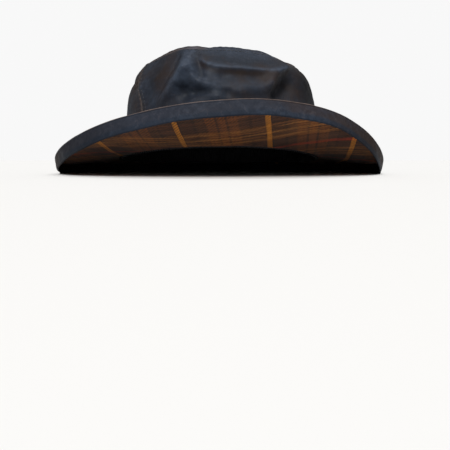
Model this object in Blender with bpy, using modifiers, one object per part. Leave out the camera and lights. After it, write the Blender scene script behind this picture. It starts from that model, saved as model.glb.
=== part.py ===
"""A wide-brimmed waxed cotton hat, resting on the lip of its brim with the brim's front swept up.

Metres, +Z up, floor at z = 0, origin on the floor under the middle of the brim. The hat's front
faces -Y. An azimuth is in degrees from the front, positive towards +X. A crown height is
measured up from the seam where the crown meets the brim.
"""

import math
from collections import namedtuple

import bmesh
import bpy
import numpy as np
from mathutils import Vector

# The brim's outer edge and the crown's seam are ovals about the origin
EDGE_HALF_WIDTH = 0.1590
EDGE_REACH_FRONT = 0.1600
EDGE_REACH_BACK = 0.1640
SEAM_HALF_WIDTH = 0.0995
SEAM_REACH = 0.1010
LIP_HEIGHT = 0.0110
LIP_THICKNESS = 0.0020
LIP_INWARD_LEAN = 0.0008
LIP_HEM_CHAMFER = 0.0005
FLAT_ON_FLOOR = 0.0006

# Cloth and the gaps between pieces
CROWN_CLOTH = 0.0016
BRIM_CLOTH = 0.0014
FACING_CLOTH = 0.0012
BAND_CLOTH = 0.0015
GAP = 0.0003
SEAM_GAP = 0.0005
TIP_OVERHANG = 0.0013

# The crown leans back and narrows to a rounded shoulder under its top
CROWN_HEIGHT = 0.0800
CROWN_LEAN = math.tan(math.radians(6.0))
CROWN_MIDDLE_SEAM = 0.0195
LEVEL_ABOVE = 0.0500
BASE_FLARE = 0.0050
BASE_FLARE_HEIGHT = 0.0200
CROWN_TAPER = 0.0040
SHOULDER_DROP = 0.0140
SHOULDER_POWER = 5
TIP_RISE = 0.0130
TIP_POWER = 2.0
TIP_CENTRE_SAG = 0.0040

# The side seams slant forward towards the brim
LEFT_SEAM_AT_BRIM = -46.0
LEFT_SEAM_AT_TIP = -60.0
RIGHT_SEAM_AT_BRIM = 122.0
RIGHT_SEAM_AT_TIP = 126.0

BAND_HEIGHT = 0.0300
BAND_BELOW_SEAM = 0.0036
FOLDS_START = 0.0320
FOLDS_FULL = 0.0420

# Facets
AROUND = 72
CROWN_ROWS = 11
TIP_ROWS = 5
BRIM_ROWS = 4
BAND_ROWS = 3

# Heights above the floor of the brim's folded edge and of the crown's seam
BrimRow = namedtuple("BrimRow", "azimuth edge_height seam_height")
BRIM_TABLE = (
    BrimRow(-180, 0.0110, 0.0130),
    BrimRow(-120, 0.0110, 0.0145),
    BrimRow(-79, 0.0110, 0.0175),
    BrimRow(-66, 0.0180, 0.0195),
    BrimRow(-44, 0.0330, 0.0225),
    BrimRow(-31, 0.0420, 0.0245),
    BrimRow(-10, 0.0525, 0.0265),
    BrimRow(11, 0.0570, 0.0270),
    BrimRow(31, 0.0515, 0.0255),
    BrimRow(45, 0.0400, 0.0235),
    BrimRow(58, 0.0265, 0.0210),
    BrimRow(74, 0.0110, 0.0180),
    BrimRow(120, 0.0110, 0.0145),
)
TABLE_SMOOTHING = 7.0
BRIM_CURL = 0.15

# The front of the crown has caved in above a curved ridge
RIDGE_MIDDLE = 16.0
RIDGE_HALF_SPAN = 34.0
RIDGE_LOW = 0.0600
RIDGE_CLIMB = 0.0190
RIDGE_CURVE_POWER = 3
DENT_DEPTH = 0.0140
DENT_RUN = 0.0190
DENT_END_STEEPNESS = 1.5

# A fold pushes the wall out (positive depth) or in along a line from its top to its foot
Fold = namedtuple("Fold", "top_azimuth top_height foot_azimuth foot_height width depth")
FOLDS = (
    Fold(-4, 0.061, 36, 0.061, 0.0065, 0.0030),
    Fold(-15, 0.078, -30, 0.038, 0.0070, 0.0050),
    Fold(-14, 0.072, -3, 0.044, 0.0065, 0.0040),
    Fold(-17, 0.054, -15, 0.038, 0.0070, -0.0065),
    Fold(46, 0.074, 27, 0.050, 0.0075, 0.0040),
    Fold(44, 0.056, 34, 0.046, 0.0090, -0.0070),
    Fold(60, 0.070, 72, 0.040, 0.0160, 0.0030),
    Fold(-38, 0.070, -42, 0.040, 0.0120, -0.0020),
    Fold(150, 0.072, 164, 0.040, 0.0100, -0.0045),
    Fold(-132, 0.074, -150, 0.038, 0.0100, -0.0040),
    Fold(178, 0.080, -164, 0.044, 0.0080, 0.0030),
    Fold(96, 0.076, 104, 0.040, 0.0100, -0.0030),
    Fold(-90, 0.074, -98, 0.038, 0.0110, -0.0030),
)

# Material colours are linear RGB
WAXED_NAVY = (0.020, 0.024, 0.033)
TARTAN_BROWN = (0.115, 0.062, 0.026)
BAND_BLACK = (0.006, 0.006, 0.008)


def clear_scene():
    for obj in list(bpy.data.objects):
        bpy.data.objects.remove(obj, do_unlink=True)


def make_material(name, colour, roughness):
    material = bpy.data.materials.new(name)
    material.use_nodes = True
    shader = material.node_tree.nodes["Principled BSDF"]
    shader.inputs["Base Color"].default_value = (*colour, 1.0)
    shader.inputs["Roughness"].default_value = roughness
    shader.inputs["Metallic"].default_value = 0.0
    return material


def waxed_cotton(name):
    return make_material(name, WAXED_NAVY, 0.55)


def smooth_step(value):
    value = min(1.0, max(0.0, value))
    return value * value * (3.0 - 2.0 * value)


def oval_radius(half_width, reach_front, reach_back, azimuth):
    across = math.sin(math.radians(azimuth)) / half_width
    front = math.cos(math.radians(azimuth))
    along = front / (reach_front if front > 0.0 else reach_back)
    return 1.0 / math.hypot(across, along)


def edge_radius(azimuth):
    return oval_radius(EDGE_HALF_WIDTH, EDGE_REACH_FRONT, EDGE_REACH_BACK, azimuth)


def seam_radius(azimuth):
    return oval_radius(SEAM_HALF_WIDTH, SEAM_REACH, SEAM_REACH, azimuth)


def outward(azimuth):
    return Vector((math.sin(math.radians(azimuth)), -math.cos(math.radians(azimuth)), 0.0))


def brim_height(azimuth, column):
    """A column of the brim table, averaged over a few degrees so that no row leaves a corner."""
    near = azimuth + np.linspace(-TABLE_SMOOTHING, TABLE_SMOOTHING, 9)
    azimuths = [row.azimuth for row in BRIM_TABLE]
    values = [getattr(row, column) for row in BRIM_TABLE]
    return float(np.mean(np.interp(near, azimuths, values, period=360)))


def edge_height(azimuth):
    """The fold's height, which is the lip's own height wherever the lip lies on the floor."""
    height = brim_height(azimuth, "edge_height")
    return LIP_HEIGHT if height < LIP_HEIGHT + FLAT_ON_FLOOR else height


def brim_point(azimuth, share):
    """The brim's upper face, with share 0 at the crown's seam and 1 at the edge's fold."""
    inner = seam_radius(azimuth)
    outer = edge_radius(azimuth)
    low = brim_height(azimuth, "seam_height")
    rise = edge_height(azimuth) - low
    point = outward(azimuth) * (inner + (outer - inner) * share)
    point.z = low + rise * (share + BRIM_CURL * (share * share - share))
    return point


def turn_from(start, azimuth):
    """The shorter way round from one azimuth to another, in degrees."""
    return (azimuth - start + 180.0) % 360.0 - 180.0


def dent_push(azimuth, height):
    """How far the wall has caved in above its ridge, which climbs towards its two ends."""
    away = abs(turn_from(RIDGE_MIDDLE, azimuth)) / RIDGE_HALF_SPAN
    if away >= 1.0:
        return 0.0
    ridge = RIDGE_LOW + RIDGE_CLIMB * away**RIDGE_CURVE_POWER
    above = (height - ridge) / DENT_RUN
    return DENT_DEPTH * smooth_step(above) * smooth_step((1.0 - away) * DENT_END_STEEPNESS)


def fold_push(azimuth, height):
    """The sum of the folds, each fading out across its line and past its ends."""
    total = 0.0
    radius = SEAM_HALF_WIDTH
    for fold in FOLDS:
        turn = turn_from(fold.top_azimuth, azimuth)
        line_turn = turn_from(fold.top_azimuth, fold.foot_azimuth)
        here = Vector((math.radians(turn) * radius, height - fold.top_height))
        line = Vector((math.radians(line_turn) * radius, fold.foot_height - fold.top_height))
        along = min(1.0, max(0.0, here.dot(line) / line.length_squared))
        away = (here - line * along).length / fold.width
        total += fold.depth * math.exp(-away * away)
    return total * smooth_step((height - FOLDS_START) / (FOLDS_FULL - FOLDS_START))


def wall_radius(azimuth, height):
    height = max(0.0, height)
    share = height / CROWN_HEIGHT
    flare = BASE_FLARE * (1.0 - math.exp(-((height / BASE_FLARE_HEIGHT) ** 2)))
    narrowing = flare + CROWN_TAPER * share + SHOULDER_DROP * share**SHOULDER_POWER
    folds = fold_push(azimuth, height) - dent_push(azimuth, height)
    return seam_radius(azimuth) - narrowing + folds


def wall_point(azimuth, height):
    """The crown wall's outer face. The seam follows the brim and the top lies in a leaning plane."""
    radius = wall_radius(azimuth, height)
    level = smooth_step(height / LEVEL_ABOVE)
    front = radius * math.cos(math.radians(azimuth))
    leaning = CROWN_MIDDLE_SEAM + CROWN_LEAN * front
    low = brim_height(azimuth, "seam_height")
    point = outward(azimuth) * radius
    point.y += CROWN_LEAN * max(0.0, height)
    point.z = low + (leaning - low) * level + height
    return point


def tip_point(azimuth, share):
    """The crown's top, with share 1 at the wall's upper edge and 0 at its centre."""
    rim = wall_point(azimuth, CROWN_HEIGHT)
    middle = Vector((0.0, CROWN_LEAN * CROWN_HEIGHT, CROWN_MIDDLE_SEAM + CROWN_HEIGHT))
    point = middle + (rim - middle) * share
    point.z += TIP_RISE * (1.0 - share**TIP_POWER)
    point.z -= TIP_CENTRE_SAG * smooth_step(1.0 - share * 1.5)
    return point


def offset_point(surface, azimuth, along, depth):
    """A point of surface(azimuth, along) moved in by depth along the normal."""
    if depth == 0.0:
        return surface(azimuth, along)
    turn = 0.5
    step = 0.0005 if surface is wall_point else 0.01
    across = surface(azimuth + turn, along) - surface(azimuth - turn, along)
    up = surface(azimuth, along + step) - surface(azimuth, along - step)
    normal = across.cross(up).normalized()
    sign = 1.0 if surface is wall_point else -1.0
    return surface(azimuth, along) - normal * depth * sign


def add_piece(name, mesh, collection, material):
    mesh.materials.append(material)
    piece = bpy.data.objects.new(name, mesh)
    collection.objects.link(piece)
    return piece


def add_sheet(name, rows, closed, cloth, collection, material, pole=None):
    """An open sheet through rows of points, given its cloth's thickness on the inner side."""
    mesh = bpy.data.meshes.new(name)
    shape = bmesh.new()
    rings = [[shape.verts.new(point) for point in row] for row in rows]
    count = len(rings[0])
    last = count if closed else count - 1
    for lower, upper in zip(rings, rings[1:]):
        for i in range(last):
            j = (i + 1) % count
            shape.faces.new((lower[i], lower[j], upper[j], upper[i]))
    if pole is not None:
        top = shape.verts.new(pole)
        for i in range(last):
            shape.faces.new((rings[-1][i], rings[-1][(i + 1) % count], top))
    shape.to_mesh(mesh)
    shape.free()
    mesh.shade_smooth()
    piece = add_piece(name, mesh, collection, material)
    wall = piece.modifiers.new("cloth", "SOLIDIFY")
    wall.thickness = cloth
    wall.offset = -1.0
    return piece


def all_azimuths():
    return [360.0 * i / AROUND for i in range(AROUND)]


def add_brim_top(collection, material):
    shares = [1.0 - i / BRIM_ROWS for i in range(BRIM_ROWS + 1)]
    inset = (CROWN_CLOTH + GAP) / (EDGE_HALF_WIDTH - SEAM_HALF_WIDTH)
    shares[-1] = -inset * 0.9
    rows = [[brim_point(a, share) for a in all_azimuths()] for share in shares]
    return add_sheet("brim_top", rows, True, BRIM_CLOTH, collection, material)


def add_brim_underside(collection, material):
    width = EDGE_HALF_WIDTH - SEAM_HALF_WIDTH
    outer = 1.0 - (LIP_THICKNESS + GAP + LIP_INWARD_LEAN) / width
    inner = -(CROWN_CLOTH + GAP) * 0.9 / width
    shares = [outer + (inner - outer) * i / BRIM_ROWS for i in range(BRIM_ROWS + 1)]
    depth = BRIM_CLOTH + GAP
    rows = [
        [offset_point(brim_point, a, share, depth) for a in all_azimuths()] for share in shares
    ]
    return add_sheet("brim_underside", rows, True, FACING_CLOTH, collection, material)


def lip_section(azimuth):
    """The lip's outline in one radial plane, hung square to the brim from under its fold."""
    fold = brim_point(azimuth, 1.0)
    along = (fold - brim_point(azimuth, 0.95)).normalized()
    side = Vector((math.cos(math.radians(azimuth)), math.sin(math.radians(azimuth)), 0.0))
    up = side.cross(along)
    if up.z < 0:
        up = -up
    top = BRIM_CLOTH + GAP
    chamfer = LIP_HEM_CHAMFER
    inner = LIP_THICKNESS
    lean = LIP_INWARD_LEAN
    places = (
        (0.0, top),
        (lean, LIP_HEIGHT - chamfer),
        (lean + chamfer, LIP_HEIGHT),
        (lean + inner - chamfer, LIP_HEIGHT),
        (lean + inner, LIP_HEIGHT - chamfer),
        (inner, top),
    )
    points = [fold - along * inward - up * down for inward, down in places]
    if fold.z <= LIP_HEIGHT:
        points[2].z = 0.0
        points[3].z = 0.0
    return points


def add_brim_edge(collection, material):
    mesh = bpy.data.meshes.new("brim_edge")
    shape = bmesh.new()
    rings = [[shape.verts.new(p) for p in lip_section(a)] for a in all_azimuths()]
    for i, ring in enumerate(rings):
        following = rings[(i + 1) % len(rings)]
        for j in range(len(ring)):
            k = (j + 1) % len(ring)
            shape.faces.new((ring[j], ring[k], following[k], following[j]))
    bmesh.ops.recalc_face_normals(shape, faces=shape.faces)
    shape.to_mesh(mesh)
    shape.free()
    return add_piece("brim_edge", mesh, collection, material)


def seam_azimuth(at_brim, at_tip, height):
    return at_brim + (at_tip - at_brim) * height / CROWN_HEIGHT


def add_crown_panel(name, start, end, columns, collection, material):
    """A panel of the crown's wall between two slanting seams, each an (at brim, at tip) pair."""
    half_gap = math.degrees(GAP / 2 / SEAM_HALF_WIDTH) * 1.2
    rows = []
    for i in range(CROWN_ROWS + 1):
        height = SEAM_GAP + (CROWN_HEIGHT - TIP_OVERHANG - SEAM_GAP) * i / CROWN_ROWS
        left = seam_azimuth(*start, height) + half_gap
        right = seam_azimuth(*end, height) - half_gap
        span = [left + (right - left) * j / columns for j in range(columns + 1)]
        rows.append([wall_point(a, height) for a in span])
    return add_sheet(name, rows, False, CROWN_CLOTH, collection, material)


def add_crown_tip(collection, material):
    shares = [1.0 - i / TIP_ROWS for i in range(TIP_ROWS)]
    rows = [[tip_point(a, share) for a in all_azimuths()] for share in shares]
    return add_sheet("crown_tip", rows, True, CROWN_CLOTH, collection, material, tip_point(0.0, 0.0))


def add_head_band(collection, material):
    depth = CROWN_CLOTH + GAP * 1.5
    low = -BAND_BELOW_SEAM
    heights = [low + (BAND_HEIGHT - low) * i / BAND_ROWS for i in range(BAND_ROWS + 1)]
    rows = [
        [offset_point(wall_point, a, height, depth) for a in all_azimuths()] for height in heights
    ]
    return add_sheet("head_band", rows, True, BAND_CLOTH, collection, material)


def build_hat():
    clear_scene()
    hat = bpy.data.collections.new("waxed_hat")
    bpy.context.scene.collection.children.link(hat)
    left = (LEFT_SEAM_AT_BRIM, LEFT_SEAM_AT_TIP)
    right = (RIGHT_SEAM_AT_BRIM, RIGHT_SEAM_AT_TIP)
    left_again = (left[0] + 360.0, left[1] + 360.0)
    front_columns = round(AROUND * (right[0] - left[0]) / 360.0)
    back_columns = AROUND - front_columns
    add_brim_top(hat, waxed_cotton("waxed_brim_top"))
    add_brim_underside(hat, make_material("tartan_facing", TARTAN_BROWN, 0.85))
    add_brim_edge(hat, waxed_cotton("waxed_brim_edge"))
    add_crown_panel("crown_front", left, right, front_columns, hat, waxed_cotton("waxed_front"))
    add_crown_panel("crown_back", right, left_again, back_columns, hat, waxed_cotton("waxed_back"))
    add_crown_tip(hat, waxed_cotton("waxed_tip"))
    add_head_band(hat, make_material("black_band", BAND_BLACK, 0.80))


build_hat()
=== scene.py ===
import math

import bpy
import numpy as np
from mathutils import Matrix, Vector, noise


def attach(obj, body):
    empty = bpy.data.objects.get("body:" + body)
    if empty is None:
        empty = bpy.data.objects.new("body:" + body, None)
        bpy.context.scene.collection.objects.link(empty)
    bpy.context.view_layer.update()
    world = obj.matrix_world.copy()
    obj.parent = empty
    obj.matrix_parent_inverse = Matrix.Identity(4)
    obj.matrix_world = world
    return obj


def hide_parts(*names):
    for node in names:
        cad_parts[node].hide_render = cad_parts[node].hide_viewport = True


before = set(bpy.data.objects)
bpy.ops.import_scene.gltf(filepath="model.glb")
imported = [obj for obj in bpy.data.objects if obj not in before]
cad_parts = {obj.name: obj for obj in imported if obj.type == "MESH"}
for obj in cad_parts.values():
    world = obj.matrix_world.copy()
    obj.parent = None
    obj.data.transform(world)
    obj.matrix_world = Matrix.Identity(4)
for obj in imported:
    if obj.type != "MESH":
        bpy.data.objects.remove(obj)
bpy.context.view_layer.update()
mm = 0.001

# The hat's own sizes, in metres, with azimuths in degrees from the front towards +X
hat = {
    "edgeHalfWidth": 0.1590, "edgeReachFront": 0.1600, "edgeReachBack": 0.1640,
    "seamHalfWidth": 0.0995, "seamReach": 0.1010,
    "lipHeight": 0.0110, "lipThickness": 0.0020, "lipLean": 0.0008,
    "crownCloth": 0.0012, "brimCloth": 0.0009, "facingCloth": 0.0009, "bandCloth": 0.0012,
    "crownHeight": 0.0800, "crownLean": math.tan(math.radians(6.0)), "middleSeam": 0.0195,
    "levelAbove": 0.0500, "baseFlare": 0.0050, "flareHeight": 0.0200, "crownTaper": 0.0040,
    "shoulderDrop": 0.0140, "shoulderPower": 5, "tipRise": 0.0130, "tipPower": 3.0, "tipSag": 0.0050,
    "foldsStart": 0.0300, "foldsFull": 0.0420, "nearFloor": 0.0006, "tableBlur": 7.0,
}

# Heights of the brim's fold and of the crown's seam above the floor, in mm, round the hat
brimColumns = ("azimuth", "edge", "seam")
brimTable = (
    (-180, 11.0, 13.0),
    (-120, 11.0, 14.5),
    (-79, 11.0, 17.5),
    (-66, 18.0, 19.5),
    (-44, 33.0, 22.5),
    (-31, 42.0, 24.5),
    (-10, 52.5, 26.5),
    (11, 57.0, 27.0),
    (31, 51.5, 25.5),
    (45, 40.0, 23.5),
    (58, 26.5, 21.0),
    (74, 11.0, 18.0),
    (120, 11.0, 14.5),
)


# Small helpers

def smoothStep(value):
    value = np.clip(value, 0.0, 1.0)
    return value * value * (3.0 - 2.0 * value)


def hill(value, middle, reach):
    # 1 at its middle, and next to nothing two reaches away
    return np.exp(-((value - middle) / reach) ** 2)


def blunt(distance, crest):
    # distance from a crease whose top is rounded off over crest
    return np.sqrt(distance ** 2 + crest ** 2) - crest


def turnFrom(start, azimuth):
    return (azimuth - start + 180.0) % 360.0 - 180.0


def metresRound(start, azimuth):
    return np.radians(turnFrom(start, azimuth)) * hat["seamHalfWidth"]


def brimHeight(azimuth, column):
    rows = np.array(brimTable, float)
    values = rows[:, brimColumns.index(column)] * mm
    shifts = np.linspace(-hat["tableBlur"], hat["tableBlur"], 9)  # averaged so that no row leaves a corner
    return sum(np.interp(azimuth + shift, rows[:, 0], values, period=360) for shift in shifts) / len(shifts)


def edgeHeight(azimuth):
    height = brimHeight(azimuth, "edge")
    onFloor = height < hat["lipHeight"] + hat["nearFloor"]
    return np.where(onFloor, hat["lipHeight"], height)


def ovalRadius(halfWidth, reachFront, reachBack, azimuth):
    across = np.sin(np.radians(azimuth)) / halfWidth
    front = np.cos(np.radians(azimuth))
    along = front / np.where(front > 0.0, reachFront, reachBack)
    return 1.0 / np.hypot(across, along)


def edgeRadius(azimuth):
    return ovalRadius(hat["edgeHalfWidth"], hat["edgeReachFront"], hat["edgeReachBack"], azimuth)


def seamRadius(azimuth):
    return ovalRadius(hat["seamHalfWidth"], hat["seamReach"], hat["seamReach"], azimuth)


def polar(azimuth, radius, height):
    turn = np.radians(azimuth)
    return np.stack([np.sin(turn) * radius, -np.cos(turn) * radius, height], axis=-1)


def cloudNoise(points, size, seed):
    shift = Vector((seed * 7.31, seed * 3.17, seed * 5.73))
    return np.array([noise.noise(Vector(p) / size + shift) for p in points.reshape(-1, 3)])


def wrapGrid(name, columns, rows, place, closed, uvSize):
    # a flat grid primitive, laid on the hat by place(u, v) with u and v from 0 to 1
    bpy.ops.object.select_all(action="DESELECT")
    bpy.ops.mesh.primitive_grid_add(x_subdivisions=columns, y_subdivisions=rows, size=2)
    piece = bpy.context.object
    piece.name = piece.data.name = name
    count = len(piece.data.vertices)
    flat = np.empty(count * 3)
    piece.data.vertices.foreach_get("co", flat)
    flat = flat.reshape(-1, 3)
    places, marks = place((flat[:, 0] + 1) / 2, (flat[:, 1] + 1) / 2)
    piece.data.vertices.foreach_set("co", places.ravel())
    for markName, values in marks.items():
        mark = piece.data.attributes.new(markName, "FLOAT", "POINT")
        mark.data.foreach_set("value", np.broadcast_to(values, count).astype(np.float32))
    uv = np.empty(len(piece.data.loops) * 2)
    piece.data.uv_layers[0].data.foreach_get("uv", uv)
    uv = uv.reshape(-1, 2) * np.array(uvSize)
    piece.data.uv_layers[0].data.foreach_set("uv", uv.ravel())
    if closed:
        bpy.ops.object.mode_set(mode="EDIT")
        bpy.ops.mesh.select_all(action="SELECT")
        bpy.ops.mesh.remove_doubles(threshold=0.000001)
        bpy.ops.object.mode_set(mode="OBJECT")
    bpy.ops.object.shade_smooth()
    return piece


def giveThickness(piece, thickness):
    bpy.context.view_layer.objects.active = piece
    wall = piece.modifiers.new("cloth", "SOLIDIFY")
    wall.thickness = thickness
    wall.offset = -1.0
    bpy.ops.object.modifier_apply(modifier=wall.name)
    return piece


def hexColour(text):
    channels = [int(text[i:i + 2], 16) / 255 for i in (0, 2, 4)]
    linear = [c / 12.92 if c <= 0.04045 else ((c + 0.055) / 1.055) ** 2.4 for c in channels]
    return (*linear, 1.0)


def addNode(tree, kind, settings=None, links=None):
    # settings sets inputs by name or number, and properties by a name that is no input
    node = tree.nodes.new(kind)
    for key, value in (settings or {}).items():
        if isinstance(key, str) and hasattr(node, key):
            setattr(node, key, value)
        else:
            node.inputs[key].default_value = value
    for key, source in (links or {}).items():
        tree.links.new(source, node.inputs[key])
    return node


def newMaterial(name, roughness, settings=None):
    material = bpy.data.materials.new(name)
    material.use_nodes = True
    shader = material.node_tree.nodes["Principled BSDF"]
    shader.inputs["Roughness"].default_value = roughness
    for key, value in (settings or {}).items():
        shader.inputs[key].default_value = value
    return material, material.node_tree, shader


def mathNode(tree, operation, first, second, clamp=False):
    node = addNode(tree, "ShaderNodeMath", {"operation": operation, "use_clamp": clamp})
    for i, value in enumerate((first, second)):
        if isinstance(value, (int, float)):
            node.inputs[i].default_value = value
        else:
            tree.links.new(value, node.inputs[i])
    return node.outputs[0]


def mixColours(tree, factor, first, second):
    node = addNode(tree, "ShaderNodeMix", {"data_type": "RGBA"})
    for key, value in ((0, factor), (6, first), (7, second)):
        if isinstance(value, (int, float, tuple)):
            node.inputs[key].default_value = value
        else:
            tree.links.new(value, node.inputs[key])
    return node.outputs[2]


def rangeNode(tree, source, low, high, toLow=0.0, toHigh=1.0):
    settings = {"From Min": low, "From Max": high, "To Min": toLow, "To Max": toHigh}
    return addNode(tree, "ShaderNodeMapRange", settings, {"Value": source}).outputs[0]


def noiseNode(tree, place, scale, detail, roughness=0.5, distortion=0.0):
    return addNode(tree, "ShaderNodeTexNoise", {
        "Scale": scale, "Detail": detail, "Roughness": roughness, "Distortion": distortion,
    }, {"Vector": place})


def markNode(tree, name):
    # a value that was left on the cloth's points
    return addNode(tree, "ShaderNodeAttribute", {"attribute_name": name}).outputs["Fac"]


def addBump(tree, shader, height, strength, depth):
    bump = addNode(tree, "ShaderNodeBump", {"Strength": strength, "Distance": depth}, {"Height": height})
    tree.links.new(bump.outputs[0], shader.inputs["Normal"])


# Materials

def weaveHeight(tree, vector, threadSize):
    # plain weave: warp and weft ribs that take turns on top, one thread to threadSize metres
    scaling = {"operation": "SCALE", "Scale": math.pi / threadSize}
    scaled = addNode(tree, "ShaderNodeVectorMath", scaling, {0: vector})
    split = addNode(tree, "ShaderNodeSeparateXYZ", None, {0: scaled.outputs[0]})
    ribs = [mathNode(tree, "SINE", split.outputs[i], 0.0) for i in (0, 1)]
    return mathNode(tree, "MULTIPLY", ribs[0], ribs[1])


waxedSettings = {
    "threadSize": 1.1 * mm,  # real canvas has about 0.5 mm threads, drawn coarser so that they show
    # the blue-grey serves both the random wax bloom and painted highlights on crests; the near-black is the
    # colour of painted shade
    "navy": "21262F", "blueBloomAndPaintedSheen": "373F4C", "brown": "2E2522", "rub": "A88E7E", "dark": "08090B",
    "patchSize": 34 * mm, "crackSize": 11 * mm, "fineScale": 260.0, "crackBend": 0.012,
    "brownShare": 0.62, "bloomShare": 0.38, "crackShare": 0.04, "darkShare": 0.55,
    "weaveBump": 0.35, "fineBump": 1.6, "crackBump": 0.8, "bump": 0.45, "bumpDepth": 0.3 * mm,
}


def waxedCotton(name, usesUv=True, gloss=0.13):
    # waxed cotton: tight canvas soaked in wax, dull and mottled, browner where the wax has gone
    # and rubbed pale along its creases, with painted highlights on its crests and painted shade in its
    # folds, seams and sides
    material, tree, shader = newMaterial(name, 0.5, {"IOR": 1.45, "Specular IOR Level": gloss})
    s = waxedSettings
    coords = addNode(tree, "ShaderNodeTexCoord")
    place = coords.outputs["Object"]
    cloth = coords.outputs["UV"] if usesUv else place
    patches = noiseNode(tree, place, 1 / s["patchSize"], 4.0, 0.6, 0.6).outputs[0]
    fine = noiseNode(tree, place, s["fineScale"], 5.0, 0.65).outputs[0]
    # brown patches follow the mark, broken up by noise
    brownShare = mathNode(tree, "ADD", rangeNode(tree, patches, 0.42, 0.68), markNode(tree, "brown"))
    brownShare = mathNode(tree, "MULTIPLY", brownShare, s["brownShare"], True)
    colour = mixColours(tree, brownShare, hexColour(s["navy"]), hexColour(s["brown"]))
    wherePlain = rangeNode(tree, patches, 0.62, 0.38)
    bloomAndPaintedSheen = mathNode(tree, "MULTIPLY", rangeNode(tree, fine, 0.40, 0.70), wherePlain)
    bloomAndPaintedSheen = mathNode(tree, "MULTIPLY", bloomAndPaintedSheen, s["bloomShare"])
    grainy = rangeNode(tree, fine, 0.3, 0.6, 0.35, 0.85)
    # the mark added here is a painted highlight that lightens crests to blue-grey, on top of the random wax
    # bloom
    bloomAndPaintedSheen = mathNode(tree, "ADD", bloomAndPaintedSheen, mathNode(tree, "MULTIPLY", markNode(tree, "bloomAndPaintedSheen"), grainy), True)
    colour = mixColours(tree, bloomAndPaintedSheen, colour, hexColour(s["blueBloomAndPaintedSheen"]))
    # fine pale lines where the wax has cracked
    swirl = noiseNode(tree, place, 55.0, 3.0).outputs["Color"]
    bending = {"operation": "MULTIPLY_ADD", 1: (s["crackBend"],) * 3}
    bent = addNode(tree, "ShaderNodeVectorMath", bending, {0: swirl, 2: place}).outputs[0]
    cells = {"feature": "DISTANCE_TO_EDGE", "Scale": 1 / s["crackSize"]}
    cracks = addNode(tree, "ShaderNodeTexVoronoi", cells, {"Vector": bent}).outputs[0]
    nearCrack = rangeNode(tree, cracks, 0.045, 0.0)
    crackLine = mathNode(tree, "MULTIPLY", nearCrack, rangeNode(tree, fine, 0.45, 0.65))
    cracked = mathNode(tree, "MULTIPLY", crackLine, s["crackShare"])
    # painted shade: this mark darkens folds, seams, patches and the lip's sides towards near-black
    darkened = mathNode(tree, "MULTIPLY", markNode(tree, "paintedShade"), s["darkShare"], True)
    rubbed = rangeNode(tree, fine, 0.25, 0.62, 0.45, 1.0)
    worn = mathNode(tree, "MULTIPLY", markNode(tree, "rub"), rubbed, True)
    for share, shade in ((cracked, "rub"), (darkened, "dark"), (worn, "rub")):
        colour = mixColours(tree, share, colour, hexColour(s[shade]))
    tree.links.new(colour, shader.inputs["Base Color"])
    mottled = rangeNode(tree, patches, 0.3, 0.7, 0.44, 0.58)
    rough = mathNode(tree, "ADD", mottled, mathNode(tree, "MULTIPLY", worn, 0.2))
    tree.links.new(rough, shader.inputs["Roughness"])
    height = mathNode(tree, "MULTIPLY", weaveHeight(tree, cloth, s["threadSize"]), s["weaveBump"])
    height = mathNode(tree, "ADD", height, mathNode(tree, "MULTIPLY", fine, s["fineBump"]))
    height = mathNode(tree, "SUBTRACT", height, mathNode(tree, "MULTIPLY", crackLine, s["crackBump"]))
    addBump(tree, shader, height, s["bump"], s["bumpDepth"])
    return material


# The tartan's own sett: each row is a stripe's width in mm and its colour, repeated across the cloth
tartanSettings = {
    "turn": 7.2,  # the cloth was cut a little off the hat's middle line
    "warpOffset": 11.6, "weftOffset": 31.0, "threadSize": 1.6 * mm,
    "redMiddle": 4.0 * mm, "redStart": -75 * mm,
    "streakLength": 30 * mm, "streakWidth": 1.9 * mm, "wobble": 1.6 * mm,
    "red": "84200F", "darkStreak": "0E0806", "ochreStreak": "8E5629", "warpStreak": "2A1D13",
    "dark": "150E0A", "ribBump": 0.5, "slubBump": 0.8, "twillBump": 0.3, "bump": 0.5, "bumpDepth": 0.25 * mm,
}
warpSett = (
    (1.0, "1E140D"), (9.5, "442714"), (2.2, "352011"), (7.3, "4E2E16"),
    (7.6, "6E3D15"), (1.8, "43260F"), (6.0, "743F14"), (1.8, "43260F"), (7.6, "6E3D15"),
    (7.3, "4E2E16"), (2.2, "352011"), (9.5, "442714"), (1.0, "1E140D"), (3.9, "C67C22"),
)
weftSett = (
    (1.4, "1C130E"), (5.2, "3C2218"), (1.4, "1C130E"), (8.6, "38221A"),
    (1.2, "120B08"), (3.0, "623C1C"), (2.7, "85562A"), (1.3, "0E0806"), (2.4, "744822"),
    (1.3, "0E0806"), (3.1, "8A5A2B"), (1.3, "0E0806"), (2.4, "744822"), (1.3, "0E0806"), (2.7, "85562A"),
    (3.0, "623C1C"), (1.2, "120B08"), (8.6, "38221A"), (3.2, "2C1A13"),
)


def stripes(tree, position, sett):
    # position in metres across the stripes becomes the sett's colour there
    pitch = sum(width for width, _ in sett)
    share = mathNode(tree, "FRACT", mathNode(tree, "DIVIDE", position, pitch * mm), 0.0)
    ramp = addNode(tree, "ShaderNodeValToRGB", None, {0: share})
    stops = ramp.color_ramp
    stops.interpolation = "LINEAR"
    blur = 0.35 / pitch  # dyed threads bleed a third of a millimetre into the next stripe
    start = 0.0
    points = []
    for width, colour in sett:
        end = start + width / pitch
        # a hairline stripe is one stop, since a ramp holds 32 at most
        edges = [(start + end) / 2] if width < 1.5 else [start + blur, end - blur]
        points += [(edge, colour) for edge in edges]
        start = end
    stops.elements[0].position, stops.elements[0].color = points[0][0], hexColour(points[0][1])
    stops.elements[1].position, stops.elements[1].color = points[-1][0], hexColour(points[-1][1])
    for at, colour in points[1:-1]:
        stops.elements.new(at).color = hexColour(colour)
    return ramp.outputs[0]


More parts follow.
